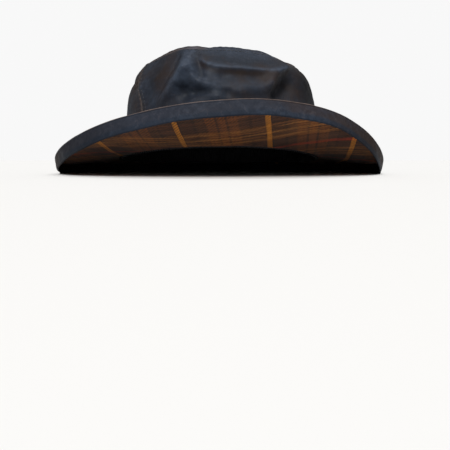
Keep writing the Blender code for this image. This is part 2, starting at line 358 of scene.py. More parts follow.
def tartanCotton(name):
    # woven cotton tartan: matt, with dyed warp and weft that mix by halves where they cross,
    # and slubby threads that streak it
    material, tree, shader = newMaterial(name, 0.82, {
        "IOR": 1.5, "Specular IOR Level": 0.12, "Sheen Weight": 0.05, "Sheen Roughness": 0.6,
    })
    s = tartanSettings
    place = addNode(tree, "ShaderNodeTexCoord").outputs["Object"]
    turned = addNode(tree, "ShaderNodeMapping", {
        "Rotation": (0, 0, math.radians(s["turn"])),
        "Location": (s["warpOffset"] * mm, s["weftOffset"] * mm, 0),
    }, {"Vector": place}).outputs[0]
    wobble = noiseNode(tree, place, 40.0, 2.0).outputs["Color"]
    bending = {"operation": "MULTIPLY_ADD", 1: (s["wobble"], s["wobble"], 0.0)}
    turned = addNode(tree, "ShaderNodeVectorMath", bending, {0: wobble, 2: turned}).outputs[0]
    split = addNode(tree, "ShaderNodeSeparateXYZ", None, {0: turned})
    across, along = split.outputs[0], split.outputs[1]
    warp = stripes(tree, across, warpSett)
    weft = stripes(tree, along, weftSett)
    # red is dyed into the middle of the weft's dark block, and is left out of the sett's first block
    pitch = sum(width for width, _ in weftSett) * mm
    fromRed = mathNode(tree, "PINGPONG", mathNode(tree, "SUBTRACT", along, s["redMiddle"]), pitch / 2)
    pastFirst = mathNode(tree, "GREATER_THAN", along, s["redStart"])
    redShare = mathNode(tree, "MULTIPLY", rangeNode(tree, fromRed, 2.9 * mm, 2.3 * mm), pastFirst)
    weft = mixColours(tree, redShare, weft, hexColour(s["red"]))
    # streaks of thicker and darker thread, long one way and a thread wide the other
    streaks = []
    for long, short in ((0, 1), (1, 0)):
        scale = [0.0, 0.0, 0.0]
        scale[long] = 1 / s["streakLength"]
        scale[short] = 1 / s["streakWidth"]
        stretched = addNode(tree, "ShaderNodeMapping", {"Scale": scale}, {"Vector": turned}).outputs[0]
        streaks.append(noiseNode(tree, stretched, 1.0, 2.0, 0.7).outputs[0])
    darkWeft = rangeNode(tree, streaks[0], 0.50, 0.40, 0.0, 0.92)
    ochreWeft = rangeNode(tree, streaks[0], 0.56, 0.68, 0.0, 0.32)
    darkWarp = rangeNode(tree, streaks[1], 0.55, 0.35, 0.0, 0.4)
    weft = mixColours(tree, darkWeft, weft, hexColour(s["darkStreak"]))
    weft = mixColours(tree, ochreWeft, weft, hexColour(s["ochreStreak"]))
    warp = mixColours(tree, darkWarp, warp, hexColour(s["warpStreak"]))
    # twill: the warp is on top along diagonals one thread wide
    diagonal = mathNode(tree, "ADD", across, along)
    twill = mathNode(tree, "SINE", mathNode(tree, "MULTIPLY", diagonal, math.pi / s["threadSize"]), 0.0)
    warpOnTop = rangeNode(tree, twill, -0.7, 0.7, 0.22, 0.66)
    colour = mixColours(tree, warpOnTop, weft, warp)
    # painted shade along the lip, where the tartan lies in its shadow
    colour = mixColours(tree, markNode(tree, "paintedShade"), colour, hexColour(s["dark"]))
    tree.links.new(colour, shader.inputs["Base Color"])
    height = mathNode(tree, "MULTIPLY", weaveHeight(tree, turned, s["threadSize"]), s["ribBump"])
    height = mathNode(tree, "ADD", height, mathNode(tree, "MULTIPLY", streaks[0], s["slubBump"]))
    height = mathNode(tree, "ADD", height, mathNode(tree, "MULTIPLY", twill, s["twillBump"]))
    addBump(tree, shader, height, s["bump"], s["bumpDepth"])
    return material


def blackBand(name):
    # black grosgrain: ribbed across its length, with a faint sheen on the ribs
    material, tree, shader = newMaterial(name, 0.55, {
        "IOR": 1.5, "Specular IOR Level": 0.2, "Sheen Weight": 0.08, "Sheen Roughness": 0.4,
    })
    coords = addNode(tree, "ShaderNodeTexCoord")
    fine = noiseNode(tree, coords.outputs["Object"], 300.0, 3.0).outputs[0]
    colour = mixColours(tree, rangeNode(tree, fine, 0.35, 0.65), hexColour("0E0F12"), hexColour("1B1C20"))
    tree.links.new(colour, shader.inputs["Base Color"])
    split = addNode(tree, "ShaderNodeSeparateXYZ", None, {0: coords.outputs["UV"]})
    ribWidth = 1.4 * mm
    ribs = mathNode(tree, "SINE", mathNode(tree, "MULTIPLY", split.outputs[0], math.pi / ribWidth), 0.0)
    addBump(tree, shader, ribs, 0.6, 0.3 * mm)
    return material


def waxedThread(name):
    # waxed polyester thread: smooth and a little glossy
    material, tree, shader = newMaterial(name, 0.4, {"IOR": 1.5, "Specular IOR Level": 0.5})
    place = addNode(tree, "ShaderNodeTexCoord").outputs["Object"]
    fine = noiseNode(tree, place, 900.0, 2.0).outputs[0]
    colour = mixColours(tree, fine, hexColour("23262D"), hexColour("3C3835"))
    tree.links.new(colour, shader.inputs["Base Color"])
    return material


materials = {
    "waxed": waxedCotton("waxedCottonOnPanels"),
    "waxedFlat": waxedCotton("waxedCottonOnTop", usesUv=False),
    "waxedLip": waxedCotton("waxedCottonOnLip", gloss=0.03),  # handled most, so its wax is dullest
    "tartan": tartanCotton("tartanCottonFacing"),
    "band": blackBand("blackGrosgrain"),
    "thread": waxedThread("waxedThread"),
}
print("materials made")


# The crown's form

crownSettings = {
    "wallColumns": 480, "wallRows": 112, "tipGrid": 150,
    "ridgeMiddle": 16.0, "ridgeHalfSpan": 34.0, "ridgeLow": 0.0600, "ridgeClimb": 0.0190, "ridgePower": 4.0,
    "dentDepth": 0.0140, "dentRun": 0.0190, "dentEnds": 1.5, "ridgeBulge": 0.0024, "ridgeWidth": 0.0036,
    "leftSeam": (-37.0, -61.0), "rightSeam": (122.0, 126.0), "seamLap": 0.0080, "seamStep": 0.0007,
    "underLap": 0.0045, "underSink": 0.85 * mm, "tipAllowance": 0.0026, "crumple": 0.0007,
    "puckerDepth": 0.28 * mm, "puckerPitch": 4.2 * mm, "seamGroove": 0.9 * mm, "wander": 2.2 * mm,
    "gatherDepth": 0.30 * mm, "gathersAtTip": 0.35, "gatherReach": 9 * mm, "ridgeCrest": 0.8 * mm,
    "wanderPitch": 9 * mm, "wanderFrom": 80, "foldRub": 1.6 * mm, "deepFold": 6.0,
}
gatherCount = 61  # round the crown's seam, on the wall and the brim alike

# Each fold runs from its top to its foot and pushes the wall out, or in where depth is under 0, in mm.
# crest rounds its top: a small one is a crisp crease. rub is how far the wax is worn off along it,
# and the last column how far its top is lightened to blue-grey, a painted highlight. A fold that goes in is
# painted darker, as painted shade.
foldColumns = (
    "topAzimuth", "topHeight", "footAzimuth", "footHeight", "width", "depth", "crest", "rub", "bloomAndPaintedSheen",
)
crownFolds = (
    (-16, 81, -19, 50, 6.8, 4.6, 2.4, 0.0, 0.75),
    (-18, 60, -31, 33, 4.6, 4.8, 0.9, 0.0, 0.5),
    (-15, 60, -2, 36, 5.0, 4.4, 2.0, 0.0, 0.5),
    (-23, 72, -35, 36, 2.0, -1.6, 0.8, 0.0, 0.0),
    (-13, 73, -9, 53, 3.0, -3.4, 1.6, 0.0, 0.0),
    (-18, 43, -17, 30, 4.6, -5.0, 2.4, 0.0, 0.0),
    (-12, 40, 4, 39, 3.6, -4.0, 1.5, 0.0, 0.0),
    (46, 77, 28, 50, 5.0, 4.6, 1.4, 0.0, 0.15),
    (43, 52, 33, 38, 7.5, -8.5, 3.0, 0.0, 0.0),
    (60, 72, 72, 40, 15.0, 3.4, 5.0, 0.0, 0.0),
    (3, 53, 24, 54, 5.5, -1.8, 2.0, 0.0, 0.0),
    (27, 46, 1, 40, 5.0, 2.8, 2.5, 0.0, 0.22),
    (-38, 70, -42, 40, 11.0, -2.2, 4.0, 0.0, 0.0),
    (-48, 52, -38, 34, 6.0, 1.8, 3.0, 0.0, 0.3),
    (-66, 66, -78, 62, 3.0, -1.4, 1.5, 0.0, 0.0),
    (150, 72, 164, 40, 9.0, -4.5, 3.0, 0.0, 0.0),
    (157, 74, 168, 50, 4.5, 2.6, 1.5, 0.06, 0.3),
    (-132, 74, -150, 38, 9.0, -4.0, 3.0, 0.0, 0.0),
    (-124, 76, -138, 50, 4.0, 2.2, 1.5, 0.08, 0.3),
    (178, 78, -170, 52, 7.0, 3.0, 2.0, 0.07, 0.4),
    (96, 76, 104, 40, 9.0, -3.0, 3.0, 0.0, 0.0),
    (86, 74, 92, 54, 4.0, 1.6, 1.2, 0.05, 0.3),
    (-90, 74, -98, 38, 10.0, -3.0, 3.0, 0.0, 0.0),
    (-104, 70, -112, 52, 4.0, 1.6, 1.2, 0.05, 0.3),
)

# Marks along the ridge: which, its height over the ridge and its reach in mm, and how strong.
# The ridge gets a painted highlight on top, painted shade just above, and painted shade and brown cloth just
# below.
ridgeMarks = (
    ("bloomAndPaintedSheen", 0.6, 1.8, 0.9), ("paintedShade", 5.5, 3.0, 0.30),
    ("paintedShade", -4.0, 2.2, 0.42), ("brown", -4.0, 2.2, 0.8),
)

# Patches of painted shade, and brown patches of cloth: azimuth, height and reach in mm, and strength
paintedShadePatches = ((62, 56, 20, 1.45), (-40, 56, 13, 0.30), (-24, 72, 6, 0.3))
brownPatches = (
    (-36, 62, 18, 0.55), (-58, 55, 16, 0.9), (12, 53, 9, 0.4), (26, 55, 9, 1.3), (64, 62, 26, 1.0),
    (14, 76, 15, -0.7), (-9, 66, 6, 1.0), (-15, 80, 8, 0.6), (110, 50, 30, 0.7), (-150, 60, 28, 0.7),
)

# How far the top is lifted over a flat leaning rim: azimuth, then mm at its rim and just behind it
tipLift = (
    (-84, 0.0, 0.0), (-72, -0.4, -0.6), (-64, -1.4, -1.2), (-56, -1.4, -1.1), (-48, -0.9, -0.7),
    (-42, 0.0, 0.4), (-36, 1.3, 1.1), (-30, 2.1, 1.3), (-24, 2.5, 1.0), (-20, 2.3, 0.3), (-16, 1.7, -0.3),
    (-12, 1.9, -0.7), (-8, 1.8, -0.6), (-4, 3.5, 1.1), (0, 4.8, 2.1), (4, 5.3, 2.5), (12, 5.1, 2.5),
    (20, 5.0, 2.3), (28, 5.2, 2.5), (33, 4.8, 2.3), (36, 3.9, 1.6), (40, 0.6, 0.2), (44, -3.0, -1.6),
    (48, -3.8, -3.2), (56, -3.1, -2.6), (64, -1.8, -1.5), (72, -0.2, -0.2), (78, 0.0, 0.0),
)


def liftAt(azimuth, column):
    rows = np.array(tipLift)
    around = turnFrom(0.0, azimuth)
    return sum(np.interp(around + d, rows[:, 0], rows[:, column]) for d in (-1, -0.5, 0, 0.5, 1)) * mm / 5


def ridgeLine(azimuth):
    s = crownSettings
    away = np.abs(turnFrom(s["ridgeMiddle"], azimuth)) / s["ridgeHalfSpan"]
    return s["ridgeLow"] + s["ridgeClimb"] * np.minimum(away, 1.0) ** s["ridgePower"], away


def foldProfiles(azimuth, height):
    # how far all the folds together push each point, and the marks along them: wear, painted highlights on
    # the folds that stand out and painted shade in those that go in
    s = crownSettings
    push = np.zeros_like(azimuth)
    marks = {name: np.zeros_like(azimuth) for name in ("rub", "paintedShade", "bloomAndPaintedSheen", "brown")}
    for count, row in enumerate(crownFolds):
        fold = dict(zip(foldColumns, row))
        x = metresRound(fold["topAzimuth"], azimuth)
        if abs(fold["topAzimuth"]) > s["wanderFrom"]:  # soft folds round the back wander on their way down
            x = x + s["wander"] * np.sin(height / s["wanderPitch"] + count * 2.1)
        y = height - fold["topHeight"] * mm
        lineX = metresRound(fold["topAzimuth"], fold["footAzimuth"])
        lineY = (fold["footHeight"] - fold["topHeight"]) * mm
        along = np.clip((x * lineX + y * lineY) / (lineX ** 2 + lineY ** 2), 0.0, 1.0)
        away = np.hypot(x - along * lineX, y - along * lineY)
        shape = np.exp(-(blunt(away, fold["crest"] * mm) / (fold["width"] * mm)) ** 1.5)
        push += fold["depth"] * mm * shape
        if fold["depth"] > 0:
            marks["rub"] += fold["rub"] * hill(away, 0.0, s["foldRub"])
            # a fold that stands out gets a painted highlight along its top
            marks["bloomAndPaintedSheen"] += fold["bloomAndPaintedSheen"] * shape
        else:
            # a fold that goes in gets painted shade
            marks["paintedShade"] += shape ** 2 * min(1.0, -fold["depth"] / s["deepFold"])
    fade = smoothStep((height - hat["foldsStart"]) / (hat["foldsFull"] - hat["foldsStart"]))
    marks = {name: mark * fade for name, mark in marks.items()}
    return push * fade * (1.0 - 0.6 * smoothStep((height - 70 * mm) / (10 * mm))), marks


def wallForm(azimuth, height):
    # the wall's radius, and its marks
    s = crownSettings
    up = np.maximum(height, 0.0)
    share = up / hat["crownHeight"]
    flare = hat["baseFlare"] * (1.0 - hill(up, 0.0, hat["flareHeight"]))
    narrow = flare + hat["crownTaper"] * share + hat["shoulderDrop"] * share ** hat["shoulderPower"]
    ridge, away = ridgeLine(azimuth)
    inDent = smoothStep((1.0 - away) * s["dentEnds"]) * (away < 1.0)
    dent = s["dentDepth"] * smoothStep((up - ridge) / s["dentRun"]) * inDent
    fromRidge = up - ridge - 0.5 * mm
    ridgeShare = smoothStep((1.0 - away) * 3.0)
    roll = np.exp(-blunt(fromRidge, s["ridgeCrest"]) / s["ridgeWidth"]) * ridgeShare
    push, marks = foldProfiles(azimuth, up)
    radius = seamRadius(azimuth) - narrow - dent + s["ridgeBulge"] * roll + push
    for name, middle, reach, strength in ridgeMarks:
        marks[name] = marks[name] + strength * ridgeShare * hill(fromRidge, middle * mm, reach * mm)
    # the back of the dent is lightened again, a painted highlight
    marks["bloomAndPaintedSheen"] = marks["bloomAndPaintedSheen"] + 0.5 * ridgeShare * smoothStep((fromRidge - 8 * mm) / (7 * mm))
    return radius, marks


def wallPlace(azimuth, height):
    radius, marks = wallForm(azimuth, height)
    up = np.maximum(height, 0.0)
    level = smoothStep(height / hat["levelAbove"])
    leaning = hat["middleSeam"] + hat["crownLean"] * radius * np.cos(np.radians(azimuth))
    low = brimHeight(azimuth, "seam")
    lift = liftAt(azimuth, 1) * smoothStep((height - 60 * mm) / (20 * mm))
    places = polar(azimuth, radius, low + (leaning - low) * level + height + lift)
    places[:, 1] += hat["crownLean"] * up
    # brown patches of cloth, and patches of painted shade
    for name, patches in (("brown", brownPatches), ("paintedShade", paintedShadePatches)):
        for at, patchHeight, size, strength in patches:
            away = np.hypot(metresRound(at, azimuth), height - patchHeight * mm)
            marks[name] = marks[name] + strength * hill(away, 0.0, size * mm)
    return places, marks


def seamAt(seam, height):
    return seam[0] + (seam[1] - seam[0]) * height / hat["crownHeight"]


def sinkAlongNormals(places, columns, rows, push):
    # moves a grid's points out along its normals by push
    grid = places.reshape(rows + 1, columns + 1, 3)
    across = np.gradient(grid, axis=1)
    up = np.gradient(grid, axis=0)
    normals = np.cross(across, up)
    normals /= np.maximum(np.linalg.norm(normals, axis=-1, keepdims=True), 1e-12)
    return (grid + normals * push.reshape(rows + 1, columns + 1, 1)).reshape(-1, 3)


def crumple(places, size, amount, seed):
    return (cloudNoise(places, size, seed) + 0.5 * cloudNoise(places, size / 2.2, seed + 1)) * amount


def tipRub(azimuth):
    # the seam of the top is rubbed pale all round but in the dent, where nothing touches it
    inDent = smoothStep((azimuth + 13) / 8) * smoothStep((44 - azimuth) / 5)
    return 0.18 * (1.0 - 0.9 * inDent)


def gatherAt(azimuth):
    turn = np.radians(azimuth)
    return np.sin(turn * gatherCount + 2.2 * np.sin(turn * 7)) * crownSettings["gatherDepth"]


def tipGathers(azimuth, fromTip):
    return crownSettings["gathersAtTip"] * gatherAt(azimuth) * hill(fromTip, 4 * mm, 3.5 * mm)


def panelPlacer(start, end, columns, rows, lapsOver):
    # a wall panel from one seam to the other; the front panel laps over the back one
    s = crownSettings

    def place(u, v):
        height = -0.6 * mm + v * (hat["crownHeight"] + 0.3 * mm)
        left, right = seamAt(start, height), seamAt(end, height)
        under = 0.0 if lapsOver else math.degrees(s["underLap"] / hat["seamHalfWidth"])
        azimuth = left - under + (right - left + 2 * under) * u
        places, marks = wallPlace(azimuth, height)
        fromLeft = np.radians(azimuth - left) * hat["seamHalfWidth"]
        fromRight = np.radians(right - azimuth) * hat["seamHalfWidth"]
        push = crumple(places, 16 * mm, s["crumple"], 3) * smoothStep(height / (12 * mm))
        nearSeam = np.minimum(fromLeft, fromRight)
        # the seam allowance lies doubled beside the seam and puckers between its stitches
        lap = smoothStep((s["seamLap"] - np.abs(nearSeam)) / (1.2 * mm))
        pucker = np.sin(height / s["puckerPitch"] * 2 * math.pi + 3 * np.sin(height / (19 * mm)))
        push += s["seamStep"] * lap * (1.0 if lapsOver else 0.25)
        push += s["puckerDepth"] * pucker * hill(nearSeam, 0.0, 9 * mm)
        push -= s["seamGroove"] * hill(nearSeam, 0.0, s["seamGroove"])  # as wide as it is deep
        if not lapsOver:
            push -= s["underSink"] * smoothStep((0.3 * mm - nearSeam) / (0.8 * mm))
        # gathers run up from the brim and down from the tip
        fromTip = hat["crownHeight"] - height
        push += gatherAt(azimuth) * hill(height, 0.0, s["gatherReach"]) + tipGathers(azimuth, fromTip)
        push -= 0.3 * mm * hill(fromTip, 0.0, 0.8 * mm)
        marks["rub"] = marks["rub"] + 0.20 * hill(nearSeam, 0.8 * mm, 0.8 * mm)
        marks["rub"] = marks["rub"] + tipRub(turnFrom(0.0, azimuth)) * hill(fromTip, 1.2 * mm, 0.9 * mm)
        # painted shade along the foot of the wall, where it meets the brim
        marks["paintedShade"] = marks["paintedShade"] + 0.8 * hill(height, 0.0, 2.5 * mm)
        return sinkAlongNormals(places, columns, rows, push), marks

    return place


def crownPanel(name, start, end, lapsOver):
    s = crownSettings
    columns = round(s["wallColumns"] * (end[0] - start[0]) / 360)
    rows = s["wallRows"]
    width = math.radians(end[0] - start[0]) * hat["seamHalfWidth"]
    place = panelPlacer(start, end, columns, rows, lapsOver)
    piece = wrapGrid(name, columns, rows, place, False, (width, hat["crownHeight"]))
    giveThickness(piece, hat["crownCloth"])
    piece.data.materials.append(materials["waxed"])
    return piece


def tipPlace(azimuth, share):
    rimPlaces, rimMarks = wallPlace(azimuth, np.full_like(azimuth, hat["crownHeight"]))
    rimLift = liftAt(azimuth, 1)
    rimPlaces[:, 2] -= rimLift
    middle = np.array([0.0, hat["crownLean"] * hat["crownHeight"], hat["middleSeam"] + hat["crownHeight"]])
    places = middle + (rimPlaces - middle) * share[:, None]
    places[:, 2] += hat["tipRise"] * (1.0 - share ** hat["tipPower"])
    behind = liftAt(azimuth, 2)
    places[:, 2] += behind * np.exp(-((1.0 - share) / 0.42) ** 4)
    places[:, 2] += (rimLift - behind) * hill(share, 1.0, 0.085)
    places[:, 2] -= hat["tipSag"] * smoothStep(1.0 - share * 1.5)
    return places, rimMarks


def crownTip():
    s = crownSettings
    grid = s["tipGrid"]
    seam = 1.0 - 4.0 / grid  # the last two rings of the grid are the seam allowance

    def place(u, v):
        # a square grid pulled out to a disc, so that no point of the top is a pole
        a, b = u * 2 - 1, v * 2 - 1
        x = a * np.sqrt(1 - b * b / 2)
        y = b * np.sqrt(1 - a * a / 2)
        azimuth = np.degrees(np.arctan2(x, -y))
        reach = np.minimum(np.hypot(x, y), 1.0)
        share = np.minimum(reach / seam, 1.0)
        places, marks = tipPlace(azimuth, share)
        fromRim = (1.0 - share) * hat["seamHalfWidth"] * 0.8
        push = crumple(places, 20 * mm, s["crumple"] * 1.1, 8) * smoothStep(fromRim / (6 * mm))
        push += tipGathers(azimuth, fromRim) + 0.5 * mm * hill(fromRim, 3.5 * mm, 3.0 * mm)
        fade = hill(fromRim, 0.0, 8 * mm)
        atRim = hill(fromRim, 1.2 * mm, 1.0 * mm)
        # the top keeps the wall's wear, painted shade and painted highlights near its rim
        marks = {
            "rub": 0.8 * tipRub(azimuth) * atRim + marks["rub"] * fade * 0.4,
            "paintedShade": marks["paintedShade"] * fade,
            "bloomAndPaintedSheen": marks["bloomAndPaintedSheen"] * fade,
            "brown": marks["brown"] * fade + 0.6 * np.exp(-((x + 0.3) ** 2 + (y - 0.2) ** 2) / 0.2),
        }
        places = sinkAlongNormals(places, grid, grid, push)
        # the seam allowance turns down under the wall's top edge
        under = np.clip((reach - seam) / (1.0 - seam), 0.0, 1.0)
        turned, _ = wallPlace(azimuth, hat["crownHeight"] - s["tipAllowance"] * under)
        turned -= polar(azimuth, np.full_like(azimuth, 1.0 * mm), np.full_like(azimuth, 0.9 * mm))
        places = np.where(under[:, None] > 0.001, turned, places)
        return places, marks

    piece = wrapGrid("crownTip", grid, grid, place, False, (1, 1))
    giveThickness(piece, hat["crownCloth"])
    piece.data.materials.append(materials["waxedFlat"])
    return piece


leftSeam, rightSeam = crownSettings["leftSeam"], crownSettings["rightSeam"]
leftSeamAgain = (leftSeam[0] + 360, leftSeam[1] + 360)
crownFront = crownPanel("crownFront", leftSeam, rightSeam, True)
crownBack = crownPanel("crownBack", rightSeam, leftSeamAgain, False)
crownTop = crownTip()
print("crown made")


# The brim

brimSettings = {
    "columns": 540, "rows": 44, "curl": 0.15, "roll": 0.0013, "rollTurn": 115.0, "ripple": 0.0006,
    "rollRows": 0.12, "facingDepth": 2.9 * mm, "facingRoll": 1.3 * mm, "facingRollRows": 0.10,
    "lipColumns": 720, "lipRows": 46, "lipPucker": 0.00016, "lipPuckers": 80, "lipDrop": 0.0021,
}


def brimPlace(azimuth, share):
    inner, outer = seamRadius(azimuth), edgeRadius(azimuth)
    low = brimHeight(azimuth, "seam")
    rise = edgeHeight(azimuth) - low
    height = low + rise * (share + brimSettings["curl"] * (share * share - share))
    return polar(azimuth, inner + (outer - inner) * share, height)


def brimNormal(azimuth, share):
    turn, step = 0.5, 0.01
    across = brimPlace(azimuth + turn, share) - brimPlace(azimuth - turn, share)
    outward = brimPlace(azimuth, share + step) - brimPlace(azimuth, share - step)
    normal = np.cross(outward, across)
    normal *= np.sign(normal[:, 2:3])
    along = outward / np.linalg.norm(outward, axis=1, keepdims=True)
    return normal / np.linalg.norm(normal, axis=1, keepdims=True), along


def brimRipple(azimuth, share):
    # the cloth waves a little between its seams, and lies still where it is sewn
    turn = np.radians(azimuth)
    wave = np.sin(turn * 5 + 1.0) * 0.5 + np.sin(turn * 13 + share * 3) * 0.3
    wave = wave + np.sin(turn * 29 - share * 5) * 0.2
    return brimSettings["ripple"] * wave * np.sin(np.clip(share, 0, 1) * math.pi)


def brimTop():
    s = brimSettings
    rollRows = s["rollRows"]  # this share of the rows goes over the edge

    def place(u, v):
        azimuth = u * 360.0 - 180.0
        rolled = np.clip(1.0 - v / rollRows, 0.0, 1.0)
        width = hat["edgeHalfWidth"] - hat["seamHalfWidth"]
        outer = 1.0 - s["roll"] / width
        inner = -0.1 * mm / width
        flat = np.clip((v - rollRows) / (1 - rollRows), 0.0, 1.0)
        share = outer + (inner - outer) * flat
        places = brimPlace(azimuth, share)
        normal, along = brimNormal(azimuth, share)
        turn = np.radians(rolled * s["rollTurn"])[:, None]
        places = places + along * np.sin(turn) * s["roll"] - normal * (1 - np.cos(turn)) * s["roll"]
        push = brimRipple(azimuth, share) + crumple(places, 22 * mm, 0.0004, 5) * (1 - rolled)
        fromSeam = share * width
        push += 0.45 * mm * hill(fromSeam, 4 * mm, 2.5 * mm)
        gather = np.sin(np.radians(azimuth) * gatherCount)
        push += 0.2 * mm * gather * hill(fromSeam, 0.0, 8 * mm)
        push *= 1.0 - rolled
        places = places + normal * push[:, None]
        marks = {
            "rub": 0.85 * hill(rolled, 0.42, 0.12),
            # painted shade beside the crown's seam
            "paintedShade": 0.7 * hill(fromSeam, 0.0, 2.5 * mm),
            "brown": 0.35 + (0.35 + 0.6 * (rolled > 0)) * np.sin(np.radians(azimuth) - 0.4),
        }
        return places, marks

    length = 2 * math.pi * hat["edgeHalfWidth"]
    width = hat["edgeHalfWidth"] - hat["seamHalfWidth"]
    piece = wrapGrid("brimTop", s["columns"], s["rows"], place, True, (length, width))
    giveThickness(piece, hat["brimCloth"])
    piece.data.materials.append(materials["waxedFlat"])
    return piece


def tartanFacing():
    s = brimSettings
    width = hat["edgeHalfWidth"] - hat["seamHalfWidth"]
    outer = 1.0 - (hat["lipThickness"] + hat["lipLean"] + 0.15 * mm) / width
    rollRows = s["facingRollRows"]  # this share of the rows turns up into the crown

    def place(u, v):
        azimuth = u * 360.0 - 180.0
        rolled = np.clip(1.0 - v / rollRows, 0.0, 1.0)
        flat = np.clip((v - rollRows) / (1 - rollRows), 0.0, 1.0)
        inner = 0.6 * mm / width
        share = inner + (outer - inner) * flat
        places = brimPlace(azimuth, share)
        normal, along = brimNormal(azimuth, share)
        turn = np.radians(rolled * 80.0)[:, None]
        radius = s["facingRoll"]
        places = places - normal * s["facingDepth"]
        places = places - along * np.sin(turn) * radius + normal * (1 - np.cos(turn)) * radius
        fromLip = (outer - share) * width
        push = -brimRipple(azimuth + 20, share) * 0.8 - crumple(places, 20 * mm, 0.00035, 11) * (1 - rolled)
        push += 0.5 * mm * hill(fromLip, 0.0, 2.5 * mm)
        push *= 1.0 - rolled
        # the mark is painted shade under the lip
        return places + normal * push[:, None], {"paintedShade": 0.85 * hill(fromLip, 0.0, 4.0 * mm)}

    piece = wrapGrid("tartanFacing", s["columns"], s["rows"], place, True, (1, 1))
    giveThickness(piece, hat["facingCloth"])
    piece.data.materials.append(materials["tartan"])
    return piece


# How far the lip is darkened by painted shade round the hat: azimuth and share
lipPaintedShade = (
    (-180, 0.6), (-120, 0.9), (-85, 1.3), (-68, 1.25), (-42, 0.85), (-20, 0.0), (0, 0.24), (22, 0.0),
    (45, 0.6), (70, 0.8), (120, 0.6),
)


def lipOutline():
    # (inward, downward) round the lip's doubled cloth, from its top outside to its top inside
    thick = hat["lipThickness"]
    lean = hat["lipLean"]
    deep = hat["lipHeight"]
    hem = thick / 2
    aboveHem = deep - hem - 0.6 * mm
    points = [(0.45 * mm, 1.3 * mm), (0.15 * mm, 1.8 * mm), (0.02 * mm, 2.4 * mm), (0.0, 3.4 * mm)]
    points += [(lean * (d / deep) ** 1.5, d) for d in np.linspace(4.6 * mm, aboveHem, 7)]
    for turn in np.linspace(0, math.pi, 11):
        points.append((lean + hem - math.cos(turn) * hem, deep - hem + math.sin(turn) * hem))
    points += [(thick + lean * (d / deep) ** 1.5, d) for d in np.linspace(aboveHem, 3.4 * mm, 6)]
    points.append((thick, 2.6 * mm))
    return np.array(points)


def brimLip():
    s = brimSettings
    outline = lipOutline()
    steps = np.r_[0, np.cumsum(np.hypot(*np.diff(outline, axis=0).T))]

    def place(u, v):
        azimuth = u * 360.0 - 180.0
        at = v * steps[-1]
        inward = np.interp(at, steps, outline[:, 0])
        down = np.interp(at, steps, outline[:, 1])
        # the lip hangs a little deeper round the front, where the floor doesn't stop it
        atFront = smoothStep((75 - np.abs(azimuth)) / 22)
        down = down + s["lipDrop"] * smoothStep(down / hat["lipHeight"]) * atFront
        fold = brimPlace(azimuth, np.ones_like(azimuth))
        normal, along = brimNormal(azimuth, np.full_like(azimuth, 0.99))
        # puckers between the stitches of the hem, deepest 3 mm up from it
        pucker = np.sin(np.radians(azimuth) * s["lipPuckers"] + 2 * np.sin(np.radians(azimuth) * 9))
        depth = s["lipPucker"] * pucker * hill(down, 7.5 * mm, 2.5 * mm)
        wave = 0.25 * mm * np.sin(np.radians(azimuth) * 17 + 1.3) * smoothStep(down / (8 * mm))
        inward = inward + depth + wave + 0.1 * mm
        places = fold - along * inward[:, None] - normal * down[:, None]
        # where it carries the hat, the hem comes right down and is pressed a little flat
        hem = fold[:, 2] - along[:, 2] * hat["lipThickness"] - normal[:, 2] * hat["lipHeight"]
        resting = fold[:, 2] <= hat["lipHeight"] + 0.1 * mm
        places[:, 2] -= (hem + 0.2 * mm) * smoothStep(down / hat["lipHeight"]) * resting
        places[:, 2] = np.maximum(places[:, 2], 0.0)
        # browner towards the right and along its top; a painted highlight in blue-grey on its front outside,
        # more of it low on the right, and painted shade from the table above, darkest round its sides
        right = smoothStep((azimuth + 5) / 50) * smoothStep((150 - azimuth) / 30)
        left = smoothStep((-50 - azimuth) / 20) * smoothStep((azimuth + 140) / 30)
        front = smoothStep((azimuth + 75) / 30) * smoothStep((60 - azimuth) / 30)
        outside = v < 0.5
        high = smoothStep((11.0 * mm - down) / (3 * mm))
        marks = {
            "rub": 0.02 * outside * high,
            "brown": -1.0 + 2.3 * right * (0.35 + 0.65 * high) + 2.6 * left,
            "bloomAndPaintedSheen": front * outside * (0.20 + 0.12 * right * (1 - high)),
            "paintedShade": np.interp(azimuth, *np.array(lipPaintedShade).T, period=360),
        }
        return places, marks

    length = 2 * math.pi * hat["edgeHalfWidth"]
    piece = wrapGrid("brimLip", s["lipColumns"], s["lipRows"], place, True, (length, steps[-1]))
    bpy.ops.object.mode_set(mode="EDIT")
    bpy.ops.mesh.select_all(action="DESELECT")
    bpy.ops.mesh.select_non_manifold()
    bpy.ops.mesh.bridge_edge_loops()
    bpy.ops.mesh.select_all(action="SELECT")
    bpy.ops.mesh.normals_make_consistent(inside=False)
    bpy.ops.object.mode_set(mode="OBJECT")
    piece.data.materials.append(materials["waxedLip"])
    return piece


brimUpper = brimTop()
facing = tartanFacing()
lip = brimLip()
print("brim made")


# The band inside the crown

bandSettings = {
    "columns": 360, "rows": 30, "height": 0.0300, "below": 0.0034, "wave": 0.0007, "inset": 2.35 * mm,
}


